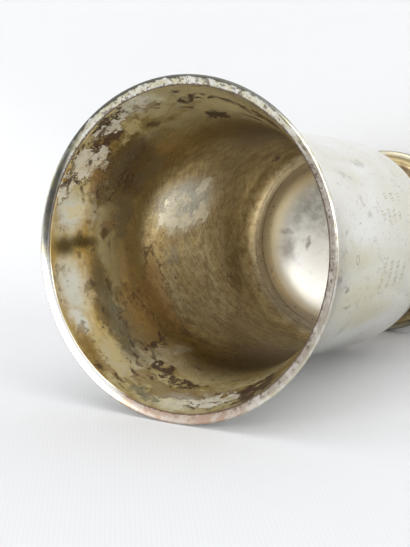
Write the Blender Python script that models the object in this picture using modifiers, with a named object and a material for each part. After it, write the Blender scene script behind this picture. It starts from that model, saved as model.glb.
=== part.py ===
"""Silver beaker on a spreading hollow foot, standing upright.

Metres, +Z up, origin at the bottom centre, where the foot meets the table.
The body is one raised cup with a flared, thickened lip, and the foot is a separate
turned ring below it. Both are solids of revolution about Z.
"""
import math

import bpy

MM = 0.001

# Overall shape
HEIGHT = 115.0 * MM               # table to the top of the lip
FOOT_HEIGHT = 24.5 * MM           # table to the underside of the body
TURN_STEPS = 48                   # straight sides that stand for each circle

# Lip of the body
LIP_RADIUS = 40.0 * MM            # outermost edge of the mouth
LIP_FACE_WIDTH = 2.5 * MM         # level band round the mouth, outer edge to inner edge
LIP_FACE_DIP = 0.8 * MM           # fall of that band towards the inside
LIP_CORNER = 0.45 * MM            # rounding of the outer edge
LIP_TAPER = 9.0 * MM              # depth over which the thick lip thins to the wall

# Body
BODY_WALL = 0.8 * MM              # thickness of the raised sheet, walls and floor
WAIST_RADIUS = 29.5 * MM          # outside, where the flare has died out
LOW_RADIUS = 28.8 * MM            # outside, where the wall starts to turn in
FLARE_DEPTH = 48.0 * MM           # lip to the end of the flare
FLARE_POWER = 3.0                 # how quickly the flare dies out
TURN_IN_HEIGHT = 16.6 * MM        # height of the rounding at the lower end
TURN_IN_DEPTH = 6.1 * MM          # how far that rounding draws the wall in

# Foot
FOOT_RADIUS = 26.6 * MM           # outside of the band that stands on the table
FOOT_WALL = 0.9 * MM              # thickness of the hollow foot
FOOT_BAND_HEIGHT = 2.3 * MM       # upright band at the bottom
FOOT_REST_WIDTH = 2.0 * MM        # flat ring under the band
ROLL_HEIGHT = 2.6 * MM            # convex moulding above the band
ROLL_DEPTH = 2.2 * MM             # how far the moulding draws in
ROLL_STEP = 1.3 * MM              # ledge between the band and the moulding
FILLET_HEIGHT = 0.6 * MM          # small upright step above the moulding
FILLET_STEP = 0.7 * MM            # ledge between the moulding and that step
NECK_RADIUS = 12.0 * MM           # outside of the foot at its narrowest
NECK_HEIGHT = 17.4 * MM           # table to the top of the hollow curve
BEAD_RADIUS = 0.9 * MM            # how far the bead on the neck stands out
BEAD_HEIGHT = 2.2 * MM            # height of that bead
SEAT_RADIUS = 15.4 * MM           # outside of the flange under the body
SEAT_EDGE = 0.7 * MM              # thickness of the flange at its edge
SEAT_GAP = 0.3 * MM               # clearance between the flange and the body

# Looks of the two metals: colour, roughness and metallic value
SILVER = ((0.80, 0.79, 0.76, 1.0), 0.22, 1.0)
WORN_GILT = ((0.66, 0.55, 0.32, 1.0), 0.30, 1.0)


def material(name, look):
    """Plain metal with the given colour, roughness and metallic value."""
    colour, roughness, metallic = look
    mat = bpy.data.materials.new(name)
    mat.use_nodes = True
    shader = mat.node_tree.nodes["Principled BSDF"]
    shader.inputs["Base Color"].default_value = colour
    shader.inputs["Roughness"].default_value = roughness
    shader.inputs["Metallic"].default_value = metallic
    mat.diffuse_color = colour
    return mat


def arc(centre_r, centre_z, semi_r, semi_z, start_deg, end_deg, count):
    """Points on part of an ellipse, from one angle to another, both ends included."""
    points = []
    for i in range(count + 1):
        angle = math.radians(start_deg + (end_deg - start_deg) * i / count)
        points.append((centre_r + semi_r * math.cos(angle),
                       centre_z + semi_z * math.sin(angle)))
    return points


def turned(name, profile, closed, mat, collection, height):
    """Solid of revolution about Z from a profile of (radius, height) points.

    The profile runs down its outer side. A closed one is a ring, and an open one
    starts and ends on the axis.
    """
    mesh = bpy.data.meshes.new(name)
    edges = [(i, i + 1) for i in range(len(profile) - 1)]
    if closed:
        edges.append((len(profile) - 1, 0))
    mesh.from_pydata([(r, 0.0, z) for r, z in profile], edges, [])
    mesh.materials.append(mat)
    piece = bpy.data.objects.new(name, mesh)
    collection.objects.link(piece)
    piece.location = (0.0, 0.0, height)
    screw = piece.modifiers.new("Turn", "SCREW")
    screw.axis = "Z"
    screw.angle = math.radians(360.0)
    screw.steps = TURN_STEPS
    screw.render_steps = TURN_STEPS
    screw.use_merge_vertices = True
    screw.merge_threshold = 0.00001
    screw.use_smooth_shade = True
    return piece


# Body, measured down from the lip

BODY_HEIGHT = HEIGHT - FOOT_HEIGHT
STRAIGHT_END = BODY_HEIGHT - TURN_IN_HEIGHT


def outer_radius(depth):
    """Outside radius of the wall at a depth below the lip, above the rounding."""
    share = (depth - FLARE_DEPTH) / (STRAIGHT_END - FLARE_DEPTH)
    wall = WAIST_RADIUS + (LOW_RADIUS - WAIST_RADIUS) * share
    if depth >= FLARE_DEPTH:
        return wall
    top = WAIST_RADIUS - (LOW_RADIUS - WAIST_RADIUS) * FLARE_DEPTH / (STRAIGHT_END - FLARE_DEPTH)
    return wall + (LIP_RADIUS - top) * (1.0 - depth / FLARE_DEPTH) ** FLARE_POWER


def plain_inner_radius(depth):
    """Inside radius for a wall of even thickness, measured square to the wall."""
    step = 0.0002
    slope = (outer_radius(depth + step) - outer_radius(depth - step)) / (2.0 * step)
    return outer_radius(depth) - BODY_WALL * math.sqrt(1.0 + slope * slope)


def inner_radius(depth):
    """Inside radius, with the extra metal that thickens the lip."""
    if depth >= LIP_TAPER:
        return plain_inner_radius(depth)
    extra = plain_inner_radius(LIP_FACE_DIP) - (LIP_RADIUS - LIP_FACE_WIDTH)
    fade = ((LIP_TAPER - depth) / (LIP_TAPER - LIP_FACE_DIP)) ** 2
    return plain_inner_radius(depth) - extra * fade


def spread(start, end, count, crowd):
    """Depths from start to end, closer together near the start."""
    return [start + (end - start) * (i / count) ** crowd for i in range(count + 1)]


def body_profile():
    """Inner floor, inner wall, lip, outer wall and underside, in that order."""
    bend_radius = LOW_RADIUS - TURN_IN_DEPTH
    bend_height = TURN_IN_HEIGHT
    points = [(0.0, BODY_WALL)]
    points += arc(bend_radius, bend_height, TURN_IN_DEPTH - BODY_WALL,
                  TURN_IN_HEIGHT - BODY_WALL, -90.0, 0.0, 7)[:-1]
    inside = spread(LIP_FACE_DIP, FLARE_DEPTH, 12, 1.5)
    points.append((inner_radius(STRAIGHT_END), BODY_HEIGHT - STRAIGHT_END))
    points.append((inner_radius(0.5 * (FLARE_DEPTH + STRAIGHT_END)),
                   BODY_HEIGHT - 0.5 * (FLARE_DEPTH + STRAIGHT_END)))
    points += [(inner_radius(d), BODY_HEIGHT - d) for d in reversed(inside)]
    points += arc(LIP_RADIUS - LIP_CORNER, BODY_HEIGHT - LIP_CORNER,
                  LIP_CORNER, LIP_CORNER, 90.0, 0.0, 3)
    outside = spread(2.0 * LIP_CORNER, FLARE_DEPTH, 11, 1.4)
    points += [(outer_radius(d), BODY_HEIGHT - d) for d in outside]
    points.append((outer_radius(0.5 * (FLARE_DEPTH + STRAIGHT_END)),
                   BODY_HEIGHT - 0.5 * (FLARE_DEPTH + STRAIGHT_END)))
    points += arc(bend_radius, bend_height, TURN_IN_DEPTH, TURN_IN_HEIGHT, 0.0, -90.0, 8)
    points.append((0.0, 0.0))
    return points


def foot_profile():
    """Flange, bead, hollow curve, mouldings, resting ring, then up the inside."""
    top = FOOT_HEIGHT - SEAT_GAP
    bead_top = NECK_HEIGHT + BEAD_HEIGHT
    roll_bottom = FOOT_BAND_HEIGHT
    roll_top = roll_bottom + ROLL_HEIGHT
    curve_bottom = roll_top + FILLET_HEIGHT
    roll_radius = FOOT_RADIUS - ROLL_STEP
    fillet_radius = roll_radius - ROLL_DEPTH
    curve_radius = fillet_radius - FILLET_STEP
    points = [(SEAT_RADIUS, top)]
    points += arc(SEAT_RADIUS, bead_top, SEAT_RADIUS - NECK_RADIUS,
                  top - SEAT_EDGE - bead_top, 90.0, 180.0, 4)
    points += arc(NECK_RADIUS, NECK_HEIGHT + 0.5 * BEAD_HEIGHT, BEAD_RADIUS,
                  0.5 * BEAD_HEIGHT, 60.0, -60.0, 3)
    hollow = arc(curve_radius, NECK_HEIGHT, curve_radius - NECK_RADIUS,
                 NECK_HEIGHT - curve_bottom, 180.0, 262.0, 7)
    points += hollow
    points.append((fillet_radius, curve_bottom))
    points.append((fillet_radius, roll_top))
    points += arc(fillet_radius, roll_bottom, roll_radius - fillet_radius,
                  ROLL_HEIGHT, 75.0, 0.0, 3)
    points.append((FOOT_RADIUS - 0.3 * MM, FOOT_BAND_HEIGHT))
    points.append((FOOT_RADIUS, FOOT_BAND_HEIGHT - 0.3 * MM))
    points.append((FOOT_RADIUS, 0.0))
    points.append((FOOT_RADIUS - FOOT_REST_WIDTH, 0.0))
    points.append((FOOT_RADIUS - FOOT_REST_WIDTH, FOOT_BAND_HEIGHT - FOOT_WALL))
    points.append((fillet_radius - FOOT_WALL, roll_top - FOOT_WALL))
    points.append((fillet_radius - FOOT_WALL, curve_bottom - FOOT_WALL))
    points += reversed(arc(curve_radius, NECK_HEIGHT, curve_radius - NECK_RADIUS + FOOT_WALL,
                           NECK_HEIGHT - curve_bottom + FOOT_WALL, 180.0, 262.0, 6))
    points.append((NECK_RADIUS - FOOT_WALL, top))
    return points


def main():
    """Build the two pieces in a collection of their own."""
    for old in list(bpy.data.objects):
        bpy.data.objects.remove(old, do_unlink=True)
    collection = bpy.data.collections.new("silver beaker")
    bpy.context.scene.collection.children.link(collection)
    silver = material("worn silver", SILVER)
    gilt = material("tarnished gilding", WORN_GILT)
    turned("beaker_body", body_profile(), False, silver, collection, FOOT_HEIGHT)
    turned("foot", foot_profile(), True, gilt, collection, 0.0)
    bpy.context.view_layer.update()


main()
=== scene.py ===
import math

import bpy
import numpy as np
from bpy.props import FloatProperty, PointerProperty, StringProperty
from mathutils import Matrix, Vector, noise


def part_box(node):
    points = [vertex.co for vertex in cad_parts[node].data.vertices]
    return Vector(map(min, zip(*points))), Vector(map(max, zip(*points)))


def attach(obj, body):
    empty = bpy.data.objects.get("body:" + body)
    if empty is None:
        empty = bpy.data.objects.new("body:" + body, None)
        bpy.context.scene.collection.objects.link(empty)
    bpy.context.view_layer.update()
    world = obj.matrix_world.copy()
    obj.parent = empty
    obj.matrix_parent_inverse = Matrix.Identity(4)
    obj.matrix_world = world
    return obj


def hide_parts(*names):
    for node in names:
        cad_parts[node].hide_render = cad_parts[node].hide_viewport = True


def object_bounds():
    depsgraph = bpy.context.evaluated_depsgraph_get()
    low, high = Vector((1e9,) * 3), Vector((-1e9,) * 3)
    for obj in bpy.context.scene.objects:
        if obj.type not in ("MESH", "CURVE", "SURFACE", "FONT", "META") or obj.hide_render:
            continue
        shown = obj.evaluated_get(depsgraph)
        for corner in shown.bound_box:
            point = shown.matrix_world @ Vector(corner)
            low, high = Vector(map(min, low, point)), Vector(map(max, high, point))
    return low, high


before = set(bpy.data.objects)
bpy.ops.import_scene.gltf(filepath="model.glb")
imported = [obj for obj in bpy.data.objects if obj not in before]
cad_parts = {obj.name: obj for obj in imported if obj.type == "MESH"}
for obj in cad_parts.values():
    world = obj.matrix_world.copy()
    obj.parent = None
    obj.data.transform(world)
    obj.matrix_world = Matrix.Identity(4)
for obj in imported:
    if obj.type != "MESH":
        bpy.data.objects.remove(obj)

bl_info = {
    "name": "Footed silver beaker",
    "version": (1, 0, 0),
    "blender": (4, 5, 0),
    "location": "View3D > Sidebar > Beaker",
    "description": "Dresses a footed silver beaker with a worn gilt inside",
    "category": "Object",
}

MM = 0.001
CAD_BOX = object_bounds()

# The photograph shows the beaker lying on its side. Here it stands, and these are the
# photograph's directions in the beaker's own frame, all square to its axis.
PHOTO_UP = Vector((1.0, -1.0, 0.0)).normalized()
PHOTO_LEFT = Vector((1.0, 1.0, 0.0)).normalized()

# Camera, from a fit to the outlines of the mouth, the body and the foot
CAMERA_PLACE = Vector((-0.10411, -0.13462, 0.38540))
CAMERA_RIGHT = Vector((-0.56143, -0.64656, -0.51648))
CAMERA_UP = Vector((0.77009, -0.63668, -0.04008))
CAMERA_LENS_MM = 92.14

AROUND_STEPS = 288        # quads round the body
FOOT_STEPS = 192          # quads round the foot
SHARP_ANGLE = math.radians(32.0)    # edges that turn by more stay crisp


# Settings that a user can change

def size(label, text, value):
    """A length that a user can change, in metres."""
    return FloatProperty(name=label, description=text, default=value, min=0.0001,
                         unit="LENGTH", precision=5)


class BeakerSizes(bpy.types.PropertyGroup):
    """Sizes of the body and the foot, with the values that the solids have."""

    height: size("Height", "Table to the top of the lip", CAD_BOX[1][2] - CAD_BOX[0][2])
    foot_height: size("Foot height", "Table to the underside of the body",
                      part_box("beaker_body")[0][2])
    lip_radius: size("Lip radius", "Outermost edge of the mouth", CAD_BOX[1][0])
    lip_face: size("Lip face", "Width of the band round the mouth", 2.5 * MM)
    lip_dip: size("Lip dip", "Fall of that band towards the inside", 0.8 * MM)
    lip_corner: size("Lip corner", "Rounding of the outer edge", 0.45 * MM)
    lip_taper: size("Lip taper", "Depth over which the lip thins to the wall", 9.0 * MM)
    wall: size("Wall", "Thickness of the raised sheet", 0.8 * MM)
    waist_radius: size("Waist radius", "Outside, where the flare ends", 29.5 * MM)
    low_radius: size("Low radius", "Outside, where the wall turns in", 28.8 * MM)
    flare_depth: size("Flare depth", "Lip to the end of the flare", 48.0 * MM)
    turn_in_height: size("Turn-in height", "Height of the rounding below", 16.6 * MM)
    turn_in_depth: size("Turn-in depth", "How far it draws the wall in", 6.1 * MM)
    foot_radius: size("Foot radius", "Outside of the standing band",
                      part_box("foot")[1][0])
    foot_wall: size("Foot wall", "Thickness of the hollow foot", 0.9 * MM)
    foot_band: size("Foot band", "Height of the upright band", 2.3 * MM)
    foot_rest: size("Foot rest", "Width of the flat ring underneath", 2.0 * MM)
    roll_height: size("Roll height", "Height of the convex moulding", 2.6 * MM)
    roll_depth: size("Roll depth", "How far the moulding draws in", 2.2 * MM)
    roll_step: size("Roll step", "Ledge between band and moulding", 1.3 * MM)
    fillet_height: size("Fillet height", "Small step above the moulding", 0.6 * MM)
    fillet_step: size("Fillet step", "Ledge between moulding and step", 0.7 * MM)
    neck_radius: size("Neck radius", "Outside of the foot at its narrowest", 12.0 * MM)
    neck_height: size("Neck height", "Table to the top of the hollow curve", 17.4 * MM)
    bead_radius: size("Bead radius", "How far the bead stands out", 0.9 * MM)
    bead_height: size("Bead height", "Height of the bead", 2.2 * MM)
    seat_radius: size("Seat radius", "Outside of the flange under the body", 15.4 * MM)
    seat_edge: size("Seat edge", "Thickness of that flange", 0.7 * MM)
    seat_gap: size("Seat gap", "Clearance between flange and body", 0.3 * MM)
    hand_waver: size("Hand waver", "How far the raised wall strays from round", 0.045 * MM)


def colour(label, text, value):
    """A colour that a user can change, as an sRGB hex value."""
    return StringProperty(name=label, description=text, default=value, maxlen=7)


class BeakerColours(bpy.types.PropertyGroup):
    """sRGB colours of the metals, their tarnish and the paper."""

    floor_silver: colour("Floor silver", "Scoured silver on the floor inside", "#FBFBF8")
    silver: colour("Silver", "Polished silver outside", "#EFEEE9")
    silver_warm: colour("Warm silver", "Silver with a first yellow tarnish", "#CFC79E")
    bare: colour("Bare silver", "Silver where the gilding has rubbed off", "#F0ECDC")
    # Also the colour of the painted highlights on the rubbed gilding inside
    rubbed: colour("Rubbed silver", "Cool silver that lips and cloths laid bare", "#E4ECEC")
    gilding: colour("Gilding", "Worn gilding inside", "#CABB92")
    gilding_deep: colour("Deep gilding", "Gilding with more colour left", "#B79D66")
    # Pale gilding near the lip, also the colour of the painted gold highlights and painted sheen
    # there
    lip_gilding_and_highlight: colour("Lip gilding", "Pale gilding rubbed thin near the lip", "#EFE0AA")
    brown_film: colour("Brown film", "Thin brown tarnish over the gilding", "#8B7452")
    # Also used for the painted shade in one brown film inside
    deep_brown: colour("Deep brown", "Heavy brown tarnish below the flare", "#80664A")
    # Colour of the painted dark reflection at the lip
    dark_reflection_olive: colour("Deep olive", "Soft dark stain at the lip", "#55503A")
    tarnish: colour("Tarnish", "Brown sulphide islands", "#574437")
    copper: colour("Copper stain", "Orange-brown stain in the gilding", "#A98350")
    strong_gold: colour("Strong gold", "Gilding at its thickest", "#E2C478")
    lip_dull: colour("Dull lip", "Warm grey film on the right of the lip", "#A59A90")
    lip_stain: colour("Lip stain", "Pinkish brown film on the lip", "#B39A88")
    slate: colour("Slate", "Blue-grey film", "#9A998C")
    grey_edge: colour("Grey edge", "Grey line along the outer edge of the lip", "#53544F")
    foot_gilding: colour("Foot gilding", "Gilding on the foot", "#B3A37B")
    paper: colour("Paper", "Pale sheet that it stands on and against", "#DBDCDE")


def brightness(label, text, value):
    """A brightness that a user can change. All but the sky's are multiples of the sky's."""
    return FloatProperty(name=label, description=text, default=value, min=0.0)


class BeakerStage(bpy.types.PropertyGroup):
    """Brightness of the parts of the room."""

    sky: brightness("Sky", "The white surroundings", 0.87)
    overhead: brightness("Overhead", "Soft light above the table", 2.1)
    grey_middle: brightness("Grey middle", "Duller patch behind the camera", 0.45)
    window: brightness("Window", "Soft window on the left", 8.2)
    fill: brightness("Fill", "Soft fill on the right", 4.2)
    dark_strip: brightness("Dark strip", "Strip that the lip mirrors as a dark line", 0.07)


# Colours, nodes and the patterns that the materials share

def linear(hex_colour):
    """sRGB hex text to a linear RGBA tuple."""
    parts = [int(hex_colour[i:i + 2], 16) / 255.0 for i in (1, 3, 5)]
    flat = [c / 12.92 if c <= 0.04045 else ((c + 0.055) / 1.055) ** 2.4 for c in parts]
    return (*flat, 1.0)


def add_node(tree, kind, inputs=None, **settings):
    """Add a node, set its options, and fill its inputs with values or links."""
    made = tree.nodes.new("ShaderNode" + kind)
    for name, value in settings.items():
        setattr(made, name, value)
    for name, value in (inputs or {}).items():
        if isinstance(value, bpy.types.NodeSocket):
            tree.links.new(value, made.inputs[name])
        else:
            made.inputs[name].default_value = value
    return made


def new_material(name):
    """An empty node material and its tree."""
    mat = bpy.data.materials.new(name)
    mat.use_nodes = True
    mat.node_tree.nodes.clear()
    return mat, mat.node_tree


def round_place(tree, ahead, across):
    """The place on a turned piece, its degrees round from ahead, height and radius in mm."""
    place = add_node(tree, "TexCoord").outputs["Object"]
    along = add_node(tree, "VectorMath", {0: place, 1: ahead}, operation="DOT_PRODUCT")
    aside = add_node(tree, "VectorMath", {0: place, 1: across}, operation="DOT_PRODUCT")
    angle = add_node(tree, "Math", {0: aside.outputs["Value"], 1: along.outputs["Value"]},
                     operation="ARCTAN2")
    degrees = add_node(tree, "Math", {0: angle.outputs[0]}, operation="DEGREES")
    level = add_node(tree, "VectorMath", {0: place, 1: (0.0, 0.0, 1000.0)},
                     operation="DOT_PRODUCT")
    flat = add_node(tree, "VectorMath", {0: place, 1: (1000.0, 1000.0, 0.0)},
                    operation="MULTIPLY")
    radius = add_node(tree, "VectorMath", {0: flat.outputs[0]}, operation="LENGTH")
    return place, degrees.outputs[0], level.outputs["Value"], radius.outputs["Value"]


def grain(tree, place, size_mm, stretch=(1.0, 1.0, 1.0), detail=3.0, rough=0.6):
    """Value of a noise whose largest lumps are size_mm across where it isn't stretched."""
    scale = 1.0 / (size_mm * MM)
    near = add_node(tree, "VectorMath", {0: place, 1: [scale * s for s in stretch]},
                    operation="MULTIPLY")
    return add_node(tree, "TexNoise", {"Vector": near.outputs[0], "Scale": 1.0,
                                       "Detail": detail, "Roughness": rough}).outputs["Fac"]


TEARS = ((5.0, 0.9), (1.4, 0.5), (0.5, 0.25))     # lumps in mm, and each one's share


def torn(tree, place, spread, degrees, other):
    """Push a spread-out place about by some degrees and some of the other, with coarse and
    fine noise, so that ovals tear."""
    for size_mm, share in TEARS:
        lumps = grain(tree, place, size_mm, detail=2.0).node
        reach = (2.0 * degrees * share, 2.0 * other * share, 0.0)
        push = add_node(tree, "VectorMath",
                        {0: lumps.outputs["Color"], 1: reach,
                         2: [-0.5 * r for r in reach]}, operation="MULTIPLY_ADD")
        spread = add_node(tree, "VectorMath", {0: spread, 1: push.outputs[0]},
                          operation="ADD").outputs[0]
    return spread


def ovals(tree, spread, spots, soft):
    """Share covered by some ovals, and the distance to the nearest, 1 at its edge.

    Each is (degrees, other, half its degrees, half the other), and soft is how far its
    edge fades.
    """
    least = None
    for at, other, half, half_other in spots:
        moved = add_node(tree, "VectorMath",
                         {0: spread, 1: (1.0 / half, 1.0 / half_other, 0.0),
                          2: (-at / half, -other / half_other, 0.0)},
                         operation="MULTIPLY_ADD")
        away = add_node(tree, "VectorMath", {0: moved.outputs[0]}, operation="LENGTH")
        far = away.outputs["Value"]
        least = far if least is None else add_node(
            tree, "Math", {0: least, 1: far}, operation="MINIMUM").outputs[0]
    cover = add_node(tree, "MapRange", {0: least, 1: 1.0 + soft, 2: 1.0 - soft},
                     interpolation_type="SMOOTHSTEP")
    return cover.outputs[0], least


def worn_metal(tree, colours, relief, relief_mm, base, *films):
    """Metal with films over it and a fine relief. Base and films are (name of the colour,
    roughness, metallic), and each film starts with its share."""
    tone, rough, metal = linear(getattr(colours, base[0])), base[1], base[2]
    for share, name, film_rough, film_metal in films:
        film = linear(getattr(colours, name))
        tone = add_node(tree, "Mix", {0: share, 6: tone, 7: film},
                        data_type="RGBA").outputs[2]
        rough = add_node(tree, "Mix", {0: share, 2: rough, 3: film_rough}).outputs[0]
        metal = add_node(tree, "Mix", {0: share, 2: metal, 3: film_metal}).outputs[0]
    bump = add_node(tree, "Bump", {"Height": relief, "Strength": 1.0,
                                   "Distance": relief_mm * MM})
    shader = add_node(tree, "BsdfPrincipled", {"Base Color": tone, "Roughness": rough,
                                               "Metallic": metal,
                                               "Normal": bump.outputs[0]})
    out = add_node(tree, "OutputMaterial")
    tree.links.new(shader.outputs[0], out.inputs["Surface"])


# Turned shapes

def arc(centre_r, centre_z, semi_r, semi_z, start_deg, end_deg, count):
    """Points on part of an ellipse, both ends included."""
    angles = np.radians(np.linspace(start_deg, end_deg, count + 1))
    return list(zip(centre_r + semi_r * np.cos(angles), centre_z + semi_z * np.sin(angles)))


# The glare on the floor shows that it is dished, so it is here. The solid's floor is flat.
DISH_POWER = 4.0          # how boxy the dish is
FLAT_SHARE = 0.72         # share of the radius with evenly spaced rings
FLAT_STEPS = 14           # those rings
BEND_STEPS = 24           # rings from there up to the straight wall
FLOOR_RINGS = 18          # rings of scoured silver, from the middle out

FLARE_POWER = 3.0         # how quickly the flare dies out
SLOPE_STEP = 0.0002       # metres over which the wall's slope is measured
INSIDE_RINGS = (60, 1.35)     # rings of the wall, and how they crowd towards the lip
OUTSIDE_RINGS = (72, 1.30)
EASE = 0.10 * MM          # how far the lip's inner edge is eased
STEP_EDGE = 0.08 * MM     # the same for the small step on the foot
BAND_EDGE = 0.3 * MM      # rounding of the foot band's upper edge
REST_EDGE = 0.15 * MM     # bevel of its lower edge


class Body:
    """The body's profile, worked out from its sizes. Depths run down from the lip."""

    def __init__(self, sizes):
        self.s = sizes
        self.straight_end = sizes.height - sizes.foot_height - sizes.turn_in_height

    def outer(self, depth):
        """Outside radius above the rounding."""
        s = self.s
        run = self.straight_end - s.flare_depth
        slope = (s.low_radius - s.waist_radius) / run
        wall = s.waist_radius + slope * (depth - s.flare_depth)
        if depth >= s.flare_depth:
            return wall
        top = s.waist_radius - slope * s.flare_depth
        return wall + (s.lip_radius - top) * (1.0 - depth / s.flare_depth) ** FLARE_POWER

    def inner(self, depth):
        """Inside radius above the rounding, with the thicker lip."""
        s = self.s
        plain = self.even(depth)
        if depth >= s.lip_taper:
            return plain
        extra = self.even(s.lip_dip) - (s.lip_radius - s.lip_face)
        return plain - extra * ((s.lip_taper - depth) / (s.lip_taper - s.lip_dip)) ** 2

    def even(self, depth):
        """Inside radius for a wall of even thickness."""
        near, far = self.outer(depth - SLOPE_STEP), self.outer(depth + SLOPE_STEP)
        slope = (far - near) / (2.0 * SLOPE_STEP)
        return self.outer(depth) - self.s.wall * math.sqrt(1.0 + slope * slope)

    def inside(self):
        """From the middle of the floor up to the inner edge of the lip."""
        s = self.s
        floor = s.foot_height + s.wall
        wide, deep = s.low_radius - s.wall, s.turn_in_height - s.wall
        flat = np.linspace(0.0, FLAT_SHARE, FLAT_STEPS + 1)[:-1]
        start = math.asin(FLAT_SHARE ** (0.5 * DISH_POWER))
        turn = np.linspace(start, 0.5 * math.pi, BEND_STEPS + 1)[:-1]
        bend = np.sin(turn) ** (2.0 / DISH_POWER)
        points = [(wide * x, floor + deep * (1.0 - math.sqrt(1.0 - x ** DISH_POWER)))
                  for x in (*flat, *bend)]
        rise = np.linspace(0.0, 1.0, INSIDE_RINGS[0])[::-1] ** INSIDE_RINGS[1]
        depths = s.lip_dip + (self.straight_end - s.lip_dip) * rise
        return points + [(self.inner(d), s.height - d) for d in depths]

    def lip(self):
        """Across the band round the mouth and round its outer edge."""
        s = self.s
        edge = [(s.lip_radius - s.lip_face + EASE, s.height - s.lip_dip + EASE)]
        edge += arc(s.lip_radius - s.lip_corner, s.height - s.lip_corner,
                    s.lip_corner, s.lip_corner, 100.0, 0.0, 7)
        return edge

    def outside(self):
        """Down the outside to the middle of the underside."""
        s = self.s
        run = np.linspace(0.0, 1.0, OUTSIDE_RINGS[0])[1:] ** OUTSIDE_RINGS[1]
        depths = 2.0 * s.lip_corner + (self.straight_end - 2.0 * s.lip_corner) * run
        points = [(self.outer(2.0 * s.lip_corner), s.height - 2.0 * s.lip_corner)]
        points += [(self.outer(d), s.height - d) for d in depths]
        points += arc(s.low_radius - s.turn_in_depth, s.foot_height + s.turn_in_height,
                      s.turn_in_depth, s.turn_in_height, 0.0, -90.0, 24)[1:]
        points += [(r, s.foot_height)
                   for r in np.linspace(s.low_radius - s.turn_in_depth, 0.0, 8)[1:]]
        return points


def foot_profile(s):
    """Flange, bead, hollow curve, mouldings, standing ring, then up the inside."""
    top = s.foot_height - s.seat_gap
    roll_top = s.foot_band + s.roll_height
    curve_low = roll_top + s.fillet_height
    roll_r = s.foot_radius - s.roll_step
    fillet_r = roll_r - s.roll_depth
    curve_r = fillet_r - s.fillet_step
    bead_top = s.neck_height + s.bead_height
    points = [(s.seat_radius, top)]
    points += arc(s.seat_radius, bead_top, s.seat_radius - s.neck_radius,
                  top - s.seat_edge - bead_top, 90.0, 180.0, 14)
    points += arc(s.neck_radius, s.neck_height + 0.5 * s.bead_height, s.bead_radius,
                  0.5 * s.bead_height, 80.0, -80.0, 10)
    points += arc(curve_r, s.neck_height, curve_r - s.neck_radius,
                  s.neck_height - curve_low, 180.0, 262.0, 26)
    points += [(fillet_r - STEP_EDGE, curve_low), (fillet_r, curve_low - STEP_EDGE),
               (fillet_r, roll_top)]
    points += arc(fillet_r, s.foot_band, roll_r - fillet_r, s.roll_height, 80.0, 0.0, 12)
    points += arc(s.foot_radius - BAND_EDGE, s.foot_band - BAND_EDGE,
                  BAND_EDGE, BAND_EDGE, 90.0, 0.0, 5)
    points += [(s.foot_radius, REST_EDGE), (s.foot_radius - REST_EDGE, 0.0),
               (s.foot_radius - s.foot_rest, 0.0),
               (s.foot_radius - s.foot_rest, s.foot_band - s.foot_wall),
               (fillet_r - s.foot_wall, roll_top - s.foot_wall),
               (fillet_r - s.foot_wall, curve_low - s.foot_wall)]
    inner = arc(curve_r, s.neck_height, curve_r - s.neck_radius + s.foot_wall,
                s.neck_height - curve_low + s.foot_wall, 180.0, 262.0, 18)
    return points + inner[::-1] + [(s.neck_radius - s.foot_wall, top)]


def new_piece(name, verts, faces):
    """A smoothly shaded mesh object in the scene."""
    mesh = bpy.data.meshes.new(name)
    mesh.from_pydata(verts, [], faces)
    mesh.shade_smooth()
    piece = bpy.data.objects.new(name, mesh)
    bpy.context.scene.collection.objects.link(piece)
    return piece


def turned(name, profile, steps, slots, waver, closed):
    """Mesh of a profile turned about Z. slots gives each profile edge its material slot.

    waver(r, z, angle) moves a point out or in, the way hammering leaves a raised wall.
    """
    rows = []
    verts = []
    for r, z in profile:
        if r < 1e-7:
            rows.append([len(verts)] * steps)
            verts.append((0.0, 0.0, z))
            continue
        rows.append(list(range(len(verts), len(verts) + steps)))
        for k in range(steps):
            angle = 2.0 * math.pi * k / steps
            out = r + waver(r, z, angle)
            verts.append((out * math.cos(angle), out * math.sin(angle), z))
    faces = []
    marks = []
    count = len(rows)
    for i in range(count if closed else count - 1):
        low, high = rows[i], rows[(i + 1) % count]
        for k in range(steps):
            n = (k + 1) % steps
            ring = [low[k], high[k], high[n], low[n]]
            corners = list(dict.fromkeys(ring))
            if len(corners) > 2:
                faces.append(corners)
                marks.append(slots[i])
    piece = new_piece(name, verts, faces)
    piece.data.polygons.foreach_set("material_index", marks)
    piece.data.set_sharp_from_angle(angle=SHARP_ANGLE)
    piece.data.update()
    return piece


HAMMER_MM = 13.0          # across a hammer mark
CALM_LIP = (2.0, 10.0)    # mm below the lip without waver, and mm more until it is full
CALM_BASE = (1.0, 8.0)    # the same above the underside


def hammered(sizes, r, z, angle):
    """How far hammering left the wall from round, dying out at the lip and underside."""
    fade = 1.0
    for away, (calm, ease) in ((sizes.height - z, CALM_LIP),
                               (z - sizes.foot_height, CALM_BASE)):
        fade *= min(max((away - calm * MM) / (ease * MM), 0.0), 1.0)
    spot = Vector((r * math.cos(angle), r * math.sin(angle), z)) / (HAMMER_MM * MM)
    return sizes.hand_waver * fade * noise.noise(spot)


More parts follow.
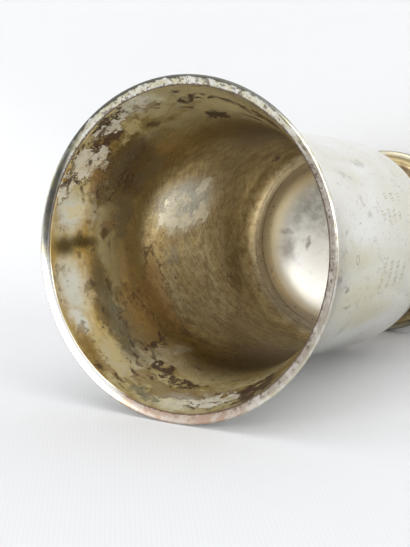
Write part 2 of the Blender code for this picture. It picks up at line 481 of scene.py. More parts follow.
# Engraving: rows of short strokes that aren't letters, and two fields of them.
# Each row is (height in mm, first and last degrees, strokes), and degrees count from the
# photograph's right towards its lower side.
STROKE_ROWS = ((65.5, 4.0, 16.5, 11), (61.2, 3.0, 17.0, 13), (56.9, 3.5, 16.0, 12),
               (52.6, 5.0, 15.0, 9), (60.0, -31.0, -28.0, 3), (55.5, -31.5, -27.5, 4),
               (51.0, -31.0, -28.0, 3), (64.5, -21.5, -17.5, 4), (61.0, -23.0, -16.0, 7),
               (57.5, -22.5, -16.5, 6), (54.0, -21.0, -17.5, 4))
STROKE_START = -135.0     # degrees round Z of the photograph's right
STROKE_MM = 2.9           # longest stroke
STROKE_LENGTHS = (0.8, 0.2)   # the middle length as a share of it, and how far they vary
STROKE_VARY = (2.4, 1.7)      # radians between neighbours in a row, and between rows
STROKE_LEAN = 1.1         # degrees that a stroke leans from end to end
STROKE_BOW = 0.35         # degrees that it bows at most
STROKE_TAPER = 0.8        # 1 would end it in a point
STROKE_WIDE_MM = 0.20     # its width in the middle
STROKE_PROUD_MM = 0.02    # how far it stands off the silver, so that it shows
STROKE_SUNK_MM = 0.05     # how far its underside lies below the silver
STROKE_EDGES = ((-1.0, STROKE_PROUD_MM), (1.0, STROKE_PROUD_MM),
                (1.0, -STROKE_SUNK_MM), (-1.0, -STROKE_SUNK_MM))


# One operator for each piece and one for the stage

class BEAKER_OT_body(bpy.types.Operator):
    """Make the raised body with its lip, its outside and its worn gilt inside"""

    bl_idname = "beaker.body"
    bl_label = "Beaker body"

    def execute(self, context):
        sizes = context.scene.beaker_sizes
        shape = Body(sizes)
        inside, lip, outside = shape.inside(), shape.lip(), shape.outside()
        profile = inside + lip + outside
        slots = [3] * FLOOR_RINGS + [2] * (len(inside) - 1 - FLOOR_RINGS)
        slots += [1] * len(lip) + [0] * len(outside)
        piece = turned("beaker_body_shell", profile, AROUND_STEPS, slots,
                       lambda r, z, angle: hammered(sizes, r, z, angle), False)
        colours = context.scene.beaker_colours
        for make in (silver_outside, silver_lip, gilt_inside, silver_floor):
            piece.data.materials.append(make(colours))
        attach(piece, "root")
        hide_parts("beaker_body")
        return {"FINISHED"}


class BEAKER_OT_engraving(bpy.types.Operator):
    """Make the shallow engraved strokes on the outside"""

    bl_idname = "beaker.engraving"
    bl_label = "Beaker engraving"

    def execute(self, context):
        sizes = context.scene.beaker_sizes
        shape = Body(sizes)
        verts, faces = [], []
        for row, (height, first, last, count) in enumerate(STROKE_ROWS):
            for k in range(count):
                at = first + (last - first) * k / (count - 1)
                sway = math.sin(STROKE_VARY[0] * k + STROKE_VARY[1] * row)
                start = len(verts)
                for step in range(5):
                    share = step / 4.0 - 0.5
                    long = STROKE_MM * (STROKE_LENGTHS[0] + STROKE_LENGTHS[1] * sway)
                    bow = STROKE_BOW * sway * math.sin(math.pi * (share + 0.5))
                    turn = at + STROKE_LEAN * share + bow
                    half = 0.5 * STROKE_WIDE_MM * math.cos(math.pi * share * STROKE_TAPER)
                    for side, out in STROKE_EDGES:
                        z = (height + share * long) * MM
                        r = shape.outer(sizes.height - z)
                        angle = math.radians(STROKE_START - turn) + side * half * MM / r
                        r += hammered(sizes, r, z, angle) + out * MM
                        verts.append((r * math.cos(angle), r * math.sin(angle), z))
                for low in range(start, start + 16, 4):
                    faces += [(low + m, low + (m + 1) % 4, low + (m + 1) % 4 + 4, low + m + 4)
                              for m in range(4)]
                faces += [(start + 3, start + 2, start + 1, start),
                          (start + 16, start + 17, start + 18, start + 19)]
        piece = new_piece("engraved_strokes", verts, faces)
        piece.data.materials.append(engraved_silver(context.scene.beaker_colours))
        piece.data.set_sharp_from_angle(angle=SHARP_ANGLE)
        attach(piece, "root")
        return {"FINISHED"}


class BEAKER_OT_foot(bpy.types.Operator):
    """Make the spreading hollow foot with its mouldings"""

    bl_idname = "beaker.foot"
    bl_label = "Beaker foot"

    def execute(self, context):
        profile = foot_profile(context.scene.beaker_sizes)
        piece = turned("foot_shell", profile, FOOT_STEPS, [0] * len(profile),
                       lambda r, z, angle: 0.0, True)
        piece.data.materials.append(gilt_foot(context.scene.beaker_colours))
        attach(piece, "root")
        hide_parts("foot")
        return {"FINISHED"}


class BEAKER_OT_stage(bpy.types.Operator):
    """Make the pale paper, the light and the camera"""

    bl_idname = "beaker.stage"
    bl_label = "Beaker stage"

    def execute(self, context):
        sizes = context.scene.beaker_sizes
        lean = math.atan2(sizes.lip_radius - sizes.foot_radius, sizes.height)
        table_up = PHOTO_UP * math.cos(lean) + Vector((0.0, 0.0, 1.0)) * math.sin(lean)
        paper_sweep(sizes, lean, context.scene.beaker_colours)
        white_room(context.scene.beaker_stage, table_up)
        place_camera(context.scene)
        return {"FINISHED"}


SWEEP_HALF_WIDTH = 4.0        # metres to each side of the beaker
SWEEP_FLOOR = 6.0             # metres of floor in front of the fold, and behind it
SWEEP_HEIGHT = 0.272          # metres up the leaning side, past what the views see
SWEEP_ROUND = 0.080           # metres, radius of the fold away from the beaker
SWEEP_SHARP = 0.0001          # metres, radius where it is sharp
SWEEP_TIGHT = 0.034           # metres to each side of the beaker where the fold is sharp
SWEEP_EASE = 0.130            # metres over which the fold opens out
SWEEP_LAP = 0.05 * MM         # clear of the foot, and the back part below the front one
SWEEP_BENDS = 12              # faces across the fold


def paper_sweep(sizes, lean, colours):
    """One sheet of paper: floor, fold, and the leaning side that is the photograph's table.

    It touches the foot and the lip. Its fold is sharp beside the beaker and opens out away
    from it. The last face is the floor behind it, for the views from behind.
    """
    rise = Vector((0.0, 0.0, 1.0)) * math.cos(lean) - PHOTO_UP * math.sin(lean)
    out = PHOTO_UP
    corner = -PHOTO_UP * (sizes.foot_radius + SWEEP_LAP)
    # Places across the sheet, close together where the fold opens out
    edge = np.concatenate((np.linspace(SWEEP_TIGHT, 0.26, 30),
                           np.geomspace(0.28, SWEEP_HALF_WIDTH, 12)))
    across = np.concatenate((-edge[::-1], np.linspace(-0.028, 0.028, 5), edge))
    verts, faces = [], []
    for s in across:
        ease = min(max((abs(s) - SWEEP_TIGHT) / SWEEP_EASE, 0.0), 1.0)
        fold = SWEEP_SHARP + SWEEP_ROUND * ease * ease * (3.0 - 2.0 * ease)
        line = [corner + out * SWEEP_FLOOR]
        for t in np.linspace(0.0, 1.0, SWEEP_BENDS + 1):
            line.append(corner + out * fold * (1.0 - t) ** 2 + rise * fold * t ** 2)
        line.append(corner + rise * SWEEP_HEIGHT)
        verts += [tuple(point + PHOTO_LEFT * s) for point in line]
    rows = SWEEP_BENDS + 3
    for a in range(len(across) - 1):
        for b in range(rows - 1):
            n = a * rows + b
            faces.append((n, n + 1, n + rows + 1, n + rows))
    under = Vector((0.0, 0.0, -SWEEP_LAP))
    start = len(verts)
    for near, s in ((SWEEP_ROUND, -SWEEP_HALF_WIDTH), (SWEEP_ROUND, SWEEP_HALF_WIDTH),
                    (-SWEEP_FLOOR, SWEEP_HALF_WIDTH), (-SWEEP_FLOOR, -SWEEP_HALF_WIDTH)):
        verts.append(tuple(corner + out * near + PHOTO_LEFT * s + under))
    faces.append((start, start + 1, start + 2, start + 3))
    piece = new_piece("paper_sweep", verts, faces)
    mesh = piece.data
    if mesh.polygons[0].normal.z < 0.0:
        mesh.flip_normals()
    if mesh.polygons[-1].normal.z < 0.0:
        mesh.polygons[-1].flip()
    mesh.materials.append(paper_sheet(colours.paper))
    return piece


# Parts of the room, the later ones over the earlier: setting, how soft the edge is, and an
# oval in degrees: left of the photograph's camera, above the table that the beaker lies on
# there, half its width, half its height. They stay put when another camera looks.
ROOM = (
    ("overhead", 0.40, (0.0, 90.0, 400.0, 38.0)),
    ("grey_middle", 0.30, (0.0, 12.0, 9.0, 9.0)),
    ("window", 0.25, (38.0, 19.0, 17.0, 14.0)),
    ("fill", 0.35, (-42.0, 18.0, 16.0, 13.0)),
    ("dark_strip", 0.30, (27.0, -4.0, 22.0, 13.0)),
)


def white_room(looks, table_up):
    """White surroundings with light above, a window, a fill, a dark strip and a grey middle."""
    world = bpy.data.worlds.new("white room")
    bpy.context.scene.world = world
    world.use_nodes = True
    tree = world.node_tree
    tree.nodes.clear()
    back = CAMERA_RIGHT.cross(CAMERA_UP).normalized()
    ahead = (back - table_up * back.dot(table_up)).normalized()
    left = -(CAMERA_RIGHT - table_up * CAMERA_RIGHT.dot(table_up)).normalized()
    way = add_node(tree, "TexCoord").outputs["Generated"]
    front, side, rise = (add_node(tree, "VectorMath", {0: way, 1: axis},
                                  operation="DOT_PRODUCT").outputs["Value"]
                         for axis in (ahead, left, table_up))
    round_angle = add_node(tree, "Math", {0: side, 1: front}, operation="ARCTAN2")
    round_deg = add_node(tree, "Math", {0: round_angle.outputs[0]}, operation="DEGREES")
    rise_angle = add_node(tree, "Math", {0: rise}, operation="ARCSINE")
    rise_deg = add_node(tree, "Math", {0: rise_angle.outputs[0]}, operation="DEGREES")
    spread = add_node(tree, "CombineXYZ", {0: round_deg.outputs[0],
                                           1: rise_deg.outputs[0]}).outputs[0]
    glow = (1.0, 1.0, 1.0, 1.0)
    for name, soft, spot in ROOM:
        shade = getattr(looks, name)
        cover = ovals(tree, spread, (spot,), soft)[0]
        glow = add_node(tree, "Mix", {0: cover, 6: glow, 7: (shade, shade, shade, 1.0)},
                        data_type="RGBA").outputs[2]
    lit = add_node(tree, "Background", {"Color": glow, "Strength": looks.sky})
    out = add_node(tree, "OutputWorld")
    tree.links.new(lit.outputs[0], out.inputs["Surface"])


def place_camera(scene):
    """The photograph's viewing angle, turned so that the beaker lies as it does there."""
    data = bpy.data.cameras.new("photo camera")
    data.lens = CAMERA_LENS_MM
    data.sensor_width = 36.0
    data.clip_start = 0.01
    data.clip_end = 20.0
    camera = bpy.data.objects.new("photo camera", data)
    scene.collection.objects.link(camera)
    back = CAMERA_RIGHT.cross(CAMERA_UP).normalized()
    up = back.cross(CAMERA_RIGHT).normalized()
    right = up.cross(back)
    turn = Matrix((right, up, back)).transposed()
    camera.matrix_world = Matrix.Translation(CAMERA_PLACE) @ turn.to_4x4()
    scene.camera = camera
    scene.view_settings.view_transform = "Standard"


# Marks, painted highlights and painted shade on the gilding inside: (degrees from the
# photograph's left towards its upper side, height, half the degrees, half the height),
# heights in mm
BARE_PATCHES = (
    (20, 112, 6, 1.8), (32, 109, 8, 4.4), (50, 111, 7.5, 2), (65, 112.5, 3.8, 1),
    (-103, 108.1, 11, 2.9),
)
DEEP_BARE = (
    (9, 74.7, 6, 5.1), (20, 74.7, 4.5, 3), (9, 68.6, 4.2, 4), (12, 61.4, 4.5, 5),
    (20, 71.9, 3.5, 4.7), (27, 64.3, 8, 2.6),
)
# Pale patches; the first is a painted gold highlight
PALE_PATCHES = (
    (-87, 110.5, 3, 2.8), (-56, 107.8, 13.5, 1.8), (-60, 102, 7.5, 3.9),
    (-62, 93.2, 8.5, 6.9), (-100, 104, 9, 2), (12, 104, 10, 2.4),
)
TARNISH_ISLANDS = (
    (24, 111.3, 1.2, 2.2), (50, 113.3, 7.9, 0.9), (42, 108.5, 6.7, 1.6),
    (82, 107, 5, 1.6), (99, 106.8, 9, 1.4), (116, 105.2, 9.5, 1.7), (86, 98.6, 4, 3),
    (-122, 108.1, 10, 6.1), (-82, 101.6, 6.5, 2.4), (-69, 100.3, 7, 2.2), (-58, 104, 2.5, 1),
    (-77, 93.2, 1.5, 1), (53, 39.2, 1.5, 1.2), (-25, 46, 1.5, 1), (-53, 94.2, 3, 3.9),
)
COPPER_STAINS = (
    (65, 109, 3.8, 1.7), (56, 107.2, 2.2, 1), (28, 104.5, 10.5, 2.2),
    (43, 97.6, 1.5, 1.4), (5, 99, 4.8, 1.4), (52, 51.5, 3, 3.5), (-49, 111.4, 14, 1.5),
    (-80, 106.1, 16.5, 2.6), (-44, 94.2, 12.5, 5.6), (-27, 93.5, 4.2, 4.2), (-30, 82.8, 25, 4.5),
)
# Brown films; the second is painted shade
BROWN_FILMS_AND_SHADE = ((34, 97.5, 19.5, 9.5), (75, 65.2, 15, 10.2), (-95, 66.7, 25, 11.7))
SLATE_FILMS = (
    (35, 91.3, 10, 3.4), (8, 94.1, 8.5, 3.5), (-76, 111.2, 7, 1.7),
    (-32, 101.6, 24, 3.4), (-10, 72.7, 5, 2.2),
)

# Painted highlights where lips and cloths have rubbed the gilding thin, with soft edges
SOFT_RUBS_AND_HIGHLIGHTS = (
    (9, 109.4, 8, 3.6), (-19, 109.4, 11, 4), (-32, 110.6, 7, 2), (64, 111.5, 8, 2.6),
    (-88, 109.5, 7, 3.4), (18, 70, 12, 10),
)

# Painted dark reflection at the lip, in soft olive
PAINTED_DARK_REFLECTIONS = ((-3.5, 110, 3.4, 3), (-2, 106, 2.6, 4))

# Painted gold highlights beside the lip
PAINTED_GOLD_HIGHLIGHTS = ((66, 111.2, 8, 2.4), (9, 108, 3.4, 2.6), (-86, 110.6, 8, 2.6), (52, 105.5, 6, 2.4))

# Marks on the floor, with the radius in mm in place of the height
FLOOR_SMUDGES = ((-12, 19, 12, 2.6), (-7, 12.1, 7, 0.7), (4, 19.6, 3, 1.8))
# Painted shade over one half of the floor, mottled
FLOOR_PAINTED_SHADE = ((48, 14, 52, 12),)

# Marks on the outside: degrees from the photograph's right towards its lower side
YELLOW_TINTS = ((1, 90, 7, 15), (17.5, 78, 8, 27), (28, 65, 8.5, 14), (35, 67, 3.5, 5.5))
GREY_SMUDGES = (
    (-19, 74, 1.2, 2.2), (-25.5, 76, 2.6, 1.1), (-40, 79, 1.2, 4),
    (-49.5, 64, 2.6, 4), (41, 75, 7, 1.9),
)
BROWN_TRACES = (
    (7.5, 99, 1.3, 4), (9, 96, 1.6, 1.6), (6, 102, 1.4, 1.3), (-3, 96.5, 0.4, 4.5),
    (7, 70, 0.7, 0.5), (14, 88, 0.5, 3.2), (22, 83, 0.6, 2.4), (-12, 92, 0.4, 2),
)

# Thin brown rings left at the edge of dried drops
DROP_RINGS = ((0.9, 83.9, 1.9, 1), (5.3, 98.3, 1.5, 1.5))

# Marks on the lip, with the radius in mm in place of the height
LIP_CLEAN = ((143, 38.8, 30, 6),)
LIP_PINK = ((85, 38.8, 27, 6),)
LIP_DULL = ((8, 38.4, 52, 1.6),)
LIP_SPOTTED = ((-75, 38.2, 66, 1.5), (20, 38, 60, 1.1))
LIP_DARK_LINE = ((-100, 38.8, 52, 6),)

# Heights in mm of the two thin dark lines that run round the foot of the inside wall
RING_LINES = (32.7, 31.0)

# Painted brown shade in the recess above the foot's mouldings, all the way round
FOOT_RECESS_SHADE = ((0, 6.9, 1, 1.3),)


def silver_outside(colours):
    """Raised silver: near white and soft, with yellowing and thin wandering tarnish lines."""
    mat, tree = new_material("silver, raised and hand polished")
    place, degrees, height, _ = round_place(tree, -PHOTO_LEFT, -PHOTO_UP)
    spread = add_node(tree, "CombineXYZ", {0: degrees, 1: height}).outputs[0]
    ragged = torn(tree, place, spread, 5.0, 4.0)
    wiping = grain(tree, place, 9.0, stretch=(1.0, 1.0, 0.2), detail=5.0)
    cloud = grain(tree, place, 26.0, detail=4.0)
    contour = grain(tree, place, 7.0, detail=6.0, rough=0.62)
    breaks = grain(tree, place, 6.0, stretch=(1.3, 1.3, 0.8), detail=2.0)
    dots = grain(tree, place, 0.8, detail=1.0)
    # Here and below, each row turns a value into a share: where the share is least, where it
    # is most, then the least, unless that is 0, and the most
    hazy, warm_cloud, specks, broken = (
        add_node(tree, "MapRange", {0: fac, 1: low, 2: high, 4: most},
                 interpolation_type="SMOOTHSTEP").outputs[0]
        for fac, low, high, most in ((wiping, 0.42, 0.66, 0.30), (cloud, 0.40, 0.62, 0.28),
                                     (dots, 0.69, 0.73, 0.45), (breaks, 0.52, 0.61, 0.50)))
    # Tarnish draws thin lines along one level of a noise
    trace = add_node(tree, "Math", {0: contour, 1: 0.52, 2: 0.0045},
                     operation="COMPARE").outputs[0]
    tint, grey, brown = (ovals(tree, ragged, spots, soft)[0] for spots, soft in (
        (YELLOW_TINTS, 0.85), (GREY_SMUDGES, 0.5), (BROWN_TRACES, 0.25)))
    gentle = torn(tree, place, spread, 1.0, 0.6)
    edges = add_node(tree, "Math", {0: ovals(tree, gentle, DROP_RINGS, 0.2)[1], 1: 1.0, 2: 0.17},
                     operation="COMPARE").outputs[0]
    yellow, soft_grey, traces, lines, dried = (
        add_node(tree, "Math", {0: first, 1: second}, operation="MULTIPLY").outputs[0]
        for first, second in ((tint, 0.62), (grey, 0.42), (brown, 0.65), (trace, broken),
                              (edges, 0.65)))
    worn_metal(tree, colours, wiping, 0.01, ("silver", 0.10, 1.0),
               (hazy, "silver_warm", 0.22, 1.0), (warm_cloud, "silver_warm", 0.16, 1.0),
               (yellow, "silver_warm", 0.20, 1.0), (soft_grey, "slate", 0.3, 0.9),
               (traces, "tarnish", 0.45, 0.6), (lines, "tarnish", 0.4, 0.7),
               (dried, "brown_film", 0.3, 0.8), (specks, "tarnish", 0.4, 0.7))
    return mat


def silver_lip(colours):
    """Burnished silver edge: bright, with brown tarnish along its inner line and a dark grey line
    round the top of its outer edge.
    """
    mat, tree = new_material("silver, burnished edge")
    place, degrees, _, radius = round_place(tree, -PHOTO_LEFT, -PHOTO_UP)
    spread = add_node(tree, "CombineXYZ", {0: degrees, 1: radius}).outputs[0]
    clean, pink, dull, islands, upper = (
        ovals(tree, spread, spots, soft)[0] for spots, soft in (
            (LIP_CLEAN, 0.2), (LIP_PINK, 0.25), (LIP_DULL, 0.3), (LIP_SPOTTED, 0.3),
            (LIP_DARK_LINE, 0.2)))
    lumps = grain(tree, place, 1.2, detail=5.0, rough=0.7)
    cloud = grain(tree, place, 2.6, detail=5.0, rough=0.6)
    fine = grain(tree, place, 0.9, detail=5.0, rough=0.75)
    inner, outer = (add_node(tree, "Math", {0: fac, 1: reach, 2: radius},
                             operation="MULTIPLY_ADD").outputs[0]
                    for fac, reach in ((fine, -1.3), (cloud, 1.9)))
    creep, edge, broken, thin, spots = (
        add_node(tree, "MapRange", {0: fac, 1: low, 2: high, 3: least, 4: most},
                 interpolation_type="SMOOTHSTEP").outputs[0]
        for fac, low, high, least, most in ((inner, 37.38, 37.12, 0.0, 0.9),
                                            (outer, 40.16, 40.28, 0.0, 0.9),
                                            (cloud, 0.34, 0.60, 0.55, 0.95),
                                            (cloud, 0.40, 0.60, 0.15, 0.75),
                                            (lumps, 0.53, 0.58, 0.0, 0.75)))
    soiled = add_node(tree, "Math", {0: 1.0, 1: clean}, operation="SUBTRACT").outputs[0]
    line, rim, stain, haze, grey, dark = (
        add_node(tree, "Math", {0: first, 1: second}, operation="MULTIPLY").outputs[0]
        for first, second in ((creep, soiled), (edge, upper), (broken, pink),
                              (thin, soiled), (broken, dull), (spots, islands)))
    worn_metal(tree, colours, lumps, 0.006, ("silver", 0.12, 1.0),
               (haze, "silver_warm", 0.2, 1.0), (stain, "lip_stain", 0.26, 0.9),
               (grey, "lip_dull", 0.26, 0.9), (dark, "tarnish", 0.4, 0.6),
               (rim, "grey_edge", 0.25, 0.9), (line, "tarnish", 0.4, 0.6))
    return mat


MM_PER_DEGREE = 0.5       # round the inside wall
SCRATCH_SLANT = math.radians(-38.0)     # of the rubbing marks inside
SCRATCH_LONG_MM = 11.0    # length of those marks
SCRATCH_WIDE_MM = 0.7     # width, drawn coarser than the real ones, so that they show
RING_HALF_MM = 0.16       # half the width of a ring line


def gilt_inside(colours):
    """Worn gilding: pale yellow metal with wiped bands, bare silver and torn brown islands,
    with painted highlights, a painted dark reflection and painted shade.
    """
    mat, tree = new_material("gilding on raised silver, rubbed and tarnished")
    place, degrees, height, _ = round_place(tree, PHOTO_LEFT, PHOTO_UP)
    spread = add_node(tree, "CombineXYZ", {0: degrees, 1: height}).outputs[0]
    ragged = torn(tree, place, spread, 11.0, 5.0)
    wiped = grain(tree, place, 9.0, stretch=(0.35, 0.35, 1.0), detail=3.0)
    mottle = grain(tree, place, 2.6, detail=9.0, rough=0.78)
    flat = add_node(tree, "VectorMath", {0: spread, 1: (MM_PER_DEGREE, 1.0, 0.0)},
                    operation="MULTIPLY").outputs[0]
    slanted = add_node(tree, "VectorRotate", {"Vector": flat, "Angle": SCRATCH_SLANT},
                       rotation_type="Z_AXIS").outputs[0]
    rubbing = add_node(tree, "VectorMath", {0: slanted, 1: (1.0 / SCRATCH_LONG_MM,
                                                            1.0 / SCRATCH_WIDE_MM, 0.0)},
                       operation="MULTIPLY").outputs[0]
    scratch = add_node(tree, "TexNoise", {"Vector": rubbing, "Scale": 1.0,
                                          "Detail": 3.0}).outputs["Fac"]
    scabs = grain(tree, place, 4.0, stretch=(0.6, 0.6, 1.3), detail=7.0, rough=0.68)
    gold_lumps = grain(tree, place, 11.0, stretch=(0.6, 0.6, 1.5), detail=4.0)
    uneven = add_node(tree, "Math", {0: mottle, 1: 7.0, 2: height},
                      operation="MULTIPLY_ADD").outputs[0]
    dots = grain(tree, place, 0.9, detail=2.0)
    # Towards the lip the gilding turns paler and less metallic: thinner gilding, and a painted
    # sheen
    (near_lip, deeper, cloudy, scabby, specks, golden, low_bare, breaks, rubbed, pale_mottle,
     scratched, torn_up) = (
        add_node(tree, "MapRange", {0: fac, 1: low, 2: high, 4: most},
                 interpolation_type="SMOOTHSTEP").outputs[0]
        for fac, low, high, most in ((height, 84.0, 104.0, 1.0),
                                     (wiped, 0.36, 0.64, 0.60), (mottle, 0.36, 0.66, 0.85),
                                     (scabs, 0.585, 0.600, 0.80), (dots, 0.66, 0.70, 0.70),
                                     (gold_lumps, 0.46, 0.60, 0.85), (uneven, 39.5, 33.5, 0.85),
                                     (scabs, 0.43, 0.45, 0.90), (mottle, 0.26, 0.56, 0.95),
                                     (mottle, 0.40, 0.62, 0.62), (scratch, 0.54, 0.68, 0.55),
                                     (mottle, 0.43, 0.47, 0.95)))
    # The second brown film is painted shade
    brown, slate, islands, pale, deep_bare, bright = (
        ovals(tree, ragged, spots, soft)[0] for spots, soft in (
            (BROWN_FILMS_AND_SHADE, 0.4), (SLATE_FILMS, 0.35), (TARNISH_ISLANDS, 0.08),
            (PALE_PATCHES, 0.4), (DEEP_BARE, 0.15), (PAINTED_GOLD_HIGHLIGHTS, 0.5)))
    bare, to_bare = ovals(tree, ragged, BARE_PATCHES, 0.1)
    bare_rim = add_node(tree, "Math", {0: to_bare, 1: 1.06, 2: 0.07},
                        operation="COMPARE").outputs[0]
    lines = [add_node(tree, "Math", {0: height, 1: level, 2: RING_HALF_MM},
                      operation="COMPARE").outputs[0] for level in RING_LINES]
    both_lines = add_node(tree, "Math", {0: lines[0], 1: lines[1]},
                          operation="MAXIMUM").outputs[0]
    copper, to_copper = ovals(tree, ragged, COPPER_STAINS, 0.25)
    rim = add_node(tree, "Math", {0: to_copper, 1: 1.0, 2: 0.06},
                   operation="COMPARE").outputs[0]
    # Painted highlights, soft edged, where the gilding is rubbed thin
    gentle = torn(tree, place, spread, 5.0, 2.2)
    rubs_and_highlights = ovals(tree, gentle, SOFT_RUBS_AND_HIGHLIGHTS, 0.75)[0]
    # Painted dark reflection at the lip
    dark_reflections = ovals(tree, spread, PAINTED_DARK_REFLECTIONS, 0.7)[0]
    clear_of_rubs_and_highlights = add_node(tree, "Math", {0: near_lip, 1: rubs_and_highlights}, operation="SUBTRACT",
                        use_clamp=True).outputs[0]
    (worn_lip_and_sheen, flakes, brown_film_and_shade, thin_slate, thin_bare, thin_copper, rims, thick,
     rich, edging, rings, thin_rubs_and_highlights, thin_pale, deep_silver, painted_dark_reflection, painted_gold_highlight) = (
        add_node(tree, "Math", {0: first, 1: second}, operation="MULTIPLY").outputs[0]
        for first, second in ((near_lip, 0.78), (scabby, clear_of_rubs_and_highlights), (brown, 0.68),
                              (slate, 0.50), (bare, rubbed), (copper, 0.42), (rim, 0.55),
                              (islands, torn_up), (golden, near_lip), (bare_rim, breaks),
                              (both_lines, 0.30), (rubs_and_highlights, 0.85), (pale, pale_mottle),
                              (deep_bare, rubbed), (dark_reflections, 0.85), (bright, 0.62)))
    # Pale gilding among these films lays painted gold highlights beside the lip
    worn_metal(tree, colours, mottle, 0.03, ("gilding", 0.15, 1.0),
               (deeper, "gilding_deep", 0.20, 1.0), (cloudy, "brown_film", 0.26, 1.0),
               (scratched, "deep_brown", 0.28, 0.95), (worn_lip_and_sheen, "lip_gilding_and_highlight", 0.16, 0.40),
               (rich, "strong_gold", 0.16, 0.80), (brown_film_and_shade, "deep_brown", 0.26, 0.85),
               (thin_rubs_and_highlights, "rubbed", 0.17, 0.30), (painted_gold_highlight, "lip_gilding_and_highlight", 0.15, 0.35),
               (thin_pale, "bare", 0.20, 0.60), (thin_slate, "slate", 0.24, 0.90),
               (low_bare, "bare", 0.36, 0.80), (thin_bare, "bare", 0.18, 0.35),
               (deep_silver, "bare", 0.15, 0.80), (thin_copper, "copper", 0.26, 0.80),
               (flakes, "tarnish", 0.36, 0.70), (rims, "tarnish", 0.40, 0.70),
               (edging, "tarnish", 0.40, 0.60), (rings, "tarnish", 0.36, 0.80),
               (painted_dark_reflection, "dark_reflection_olive", 0.22, 0.9),
               (thick, "tarnish", 0.42, 0.55), (specks, "tarnish", 0.40, 0.70))
    return mat


def silver_floor(colours):
    """Bare silver floor, scoured rather than polished: soft glare, grey drink marks, and painted
    shade over one half.
    """
    mat, tree = new_material("silver, worn bare and scoured on the floor of the cup")
    place, degrees, _, radius = round_place(tree, PHOTO_LEFT, PHOTO_UP)
    spread = add_node(tree, "CombineXYZ", {0: degrees, 1: radius}).outputs[0]
    gentle = torn(tree, place, spread, 6.0, 2.0)
    # Seen from the origin, so that the noise is drawn out a little along the radius
    way = add_node(tree, "VectorMath", {0: place}, operation="NORMALIZE").outputs[0]
    spokes = grain(tree, way, 180.0, detail=3.0)
    cloud = grain(tree, place, 5.0, detail=6.0, rough=0.65)
    outward = add_node(tree, "Math", {0: cloud, 1: 9.0, 2: radius},
                       operation="MULTIPLY_ADD").outputs[0]
    rays, clouds, soiled, blotches = (
        add_node(tree, "MapRange", {0: fac, 1: low, 2: high, 4: most},
                 interpolation_type="SMOOTHSTEP").outputs[0]
        for fac, low, high, most in ((spokes, 0.45, 0.62, 0.15), (cloud, 0.52, 0.66, 0.30),
                                     (outward, 21.0, 27.0, 0.9), (cloud, 0.32, 0.66, 0.70)))
    smudges = ovals(tree, gentle, FLOOR_SMUDGES, 0.7)[0]
    # Painted shade over one half of the floor
    haze = ovals(tree, spread, FLOOR_PAINTED_SHADE, 0.6)[0]
    soft, painted_floor_shade = (add_node(tree, "Math", {0: first, 1: second},
                           operation="MULTIPLY").outputs[0]
                  for first, second in ((smudges, 0.72), (haze, blotches)))
    worn_metal(tree, colours, cloud, 0.02, ("floor_silver", 0.50, 0.50),
               (rays, "bare", 0.45, 0.8), (painted_floor_shade, "slate", 0.40, 0.95),
               (clouds, "slate", 0.42, 0.9), (soft, "tarnish", 0.42, 0.9),
               (soiled, "bare", 0.36, 0.80))
    return mat


def gilt_foot(colours):
    """Turned and gilt foot: yellow metal, rubbed to silver on the band, with painted brown shade
    in the recess.
    """
    mat, tree = new_material("gilding on silver, turned and worn")
    place, _, height, _ = round_place(tree, PHOTO_LEFT, PHOTO_UP)
    lumps = grain(tree, place, 4.0, detail=5.0)
    uneven = add_node(tree, "Math", {0: lumps, 1: 1.6, 2: height},
                      operation="MULTIPLY_ADD").outputs[0]
    rubbed, soiled, patchy = (
        add_node(tree, "MapRange", {0: fac, 1: low, 2: high, 3: least, 4: most},
                 interpolation_type="SMOOTHSTEP").outputs[0]
        for fac, low, high, least, most in ((uneven, 4.0, 3.0, 0.0, 0.8),
                                            (lumps, 0.35, 0.60, 0.45, 0.85),
                                            (lumps, 0.45, 0.65, 0.0, 0.6)))
    level = add_node(tree, "CombineXYZ", {1: uneven}).outputs[0]
    # Painted brown shade in the recess
    recess = ovals(tree, level, FOOT_RECESS_SHADE, 0.45)[0]
    dark = add_node(tree, "Math", {0: recess, 1: soiled}, operation="MULTIPLY").outputs[0]
    worn_metal(tree, colours, lumps, 0.02, ("foot_gilding", 0.28, 1.0),
               (patchy, "gilding_deep", 0.34, 1.0), (dark, "tarnish", 0.45, 0.7),
               (rubbed, "slate", 0.24, 1.0))
    return mat


def engraved_silver(colours):
    """Engraved silver: its strokes hold grey tarnish and the grooves' painted shade, so they read
    as soft dark lines.
    """
    mat, tree = new_material("silver, engraved and darkened")
    place = add_node(tree, "TexCoord").outputs["Object"]
    lumps = grain(tree, place, 1.5, detail=2.0)
    worn = add_node(tree, "MapRange", {0: lumps, 1: 0.4, 2: 0.6},
                    interpolation_type="SMOOTHSTEP").outputs[0]
    worn_metal(tree, colours, lumps, 0.01, ("slate", 0.4, 0.9),
               (worn, "silver_warm", 0.3, 1.0))
    return mat


RIB_MM = 1.6              # spacing of the paper's ribs along each axis, 0.92 across them
RIB_SHADE = 0.975         # the ribs' hollows against the paper
RIBS_FADE_MM = (8.0, 30.0)    # heights between which the ribs come in


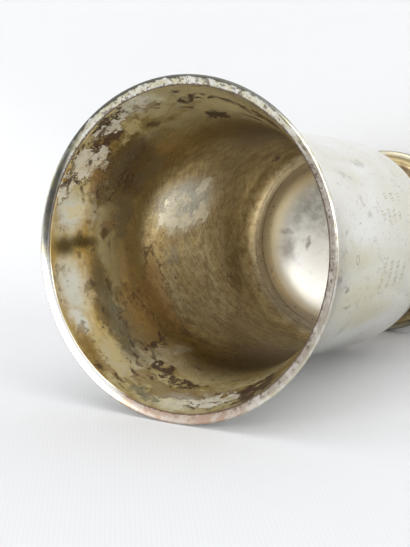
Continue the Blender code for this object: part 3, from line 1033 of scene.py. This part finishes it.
def paper_sheet(hex_colour):
    """Matt white paper with faint ribs, which can't be seen from behind."""
    mat, tree = new_material("white paper, matt and finely ribbed")
    place = add_node(tree, "TexCoord").outputs["Object"]
    mm = add_node(tree, "VectorMath", {0: place, 1: (1000.0, 1000.0, 1000.0)},
                  operation="MULTIPLY").outputs[0]
    # At scale 1 the bands repeat after a fifth of pi
    ribs = add_node(tree, "TexWave", {"Vector": mm, "Scale": 0.2 * math.pi / RIB_MM,
                                      "Distortion": 0.6, "Detail": 1.0},
                    bands_direction="DIAGONAL").outputs["Fac"]
    white = linear(hex_colour)
    height = add_node(tree, "SeparateXYZ", {0: mm}).outputs["Z"]
    upright = add_node(tree, "MapRange", {0: height, 1: RIBS_FADE_MM[0],
                                          2: RIBS_FADE_MM[1]}).outputs[0]
    ribbed = add_node(tree, "Math", {0: ribs, 1: upright}, operation="MULTIPLY").outputs[0]
    hollow = (*(RIB_SHADE * c for c in white[:3]), 1.0)
    shaded = add_node(tree, "Mix", {0: ribbed, 6: white, 7: hollow},
                      data_type="RGBA").outputs[2]
    shader = add_node(tree, "BsdfPrincipled", {"Base Color": shaded, "Roughness": 0.95})
    clear = add_node(tree, "BsdfTransparent")
    side = add_node(tree, "NewGeometry").outputs["Backfacing"]
    both = add_node(tree, "MixShader", {0: side, 1: shader.outputs[0], 2: clear.outputs[0]})
    out = add_node(tree, "OutputMaterial")
    tree.links.new(both.outputs[0], out.inputs["Surface"])
    return mat


# Panel, registration and main

class VIEW3D_PT_beaker(bpy.types.Panel):
    """Lists the beaker's sizes, colours and operators"""

    bl_label = "Silver beaker"
    bl_idname = "VIEW3D_PT_beaker"
    bl_space_type = "VIEW_3D"
    bl_region_type = "UI"
    bl_category = "Beaker"

    def draw(self, context):
        scene = context.scene
        for group in (scene.beaker_sizes, scene.beaker_colours, scene.beaker_stage):
            box = self.layout.box()
            for name in group.__annotations__:
                box.prop(group, name)
        for step in STEPS:
            self.layout.operator(step.bl_idname)


STEPS = (BEAKER_OT_body, BEAKER_OT_engraving, BEAKER_OT_foot, BEAKER_OT_stage)
CLASSES = (BeakerSizes, BeakerColours, BeakerStage, *STEPS, VIEW3D_PT_beaker)


def register():
    """Register the classes and hang the settings on the scene."""
    for cls in CLASSES:
        bpy.utils.register_class(cls)
    bpy.types.Scene.beaker_sizes = PointerProperty(type=BeakerSizes)
    bpy.types.Scene.beaker_colours = PointerProperty(type=BeakerColours)
    bpy.types.Scene.beaker_stage = PointerProperty(type=BeakerStage)


def unregister():
    """Take it all away again."""
    del bpy.types.Scene.beaker_stage
    del bpy.types.Scene.beaker_colours
    del bpy.types.Scene.beaker_sizes
    for cls in reversed(CLASSES):
        bpy.utils.unregister_class(cls)


def main():
    """Register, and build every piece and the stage."""
    register()
    bpy.ops.beaker.body()
    bpy.ops.beaker.engraving()
    bpy.ops.beaker.foot()
    bpy.ops.beaker.stage()


if __name__ == "__main__":
    main()
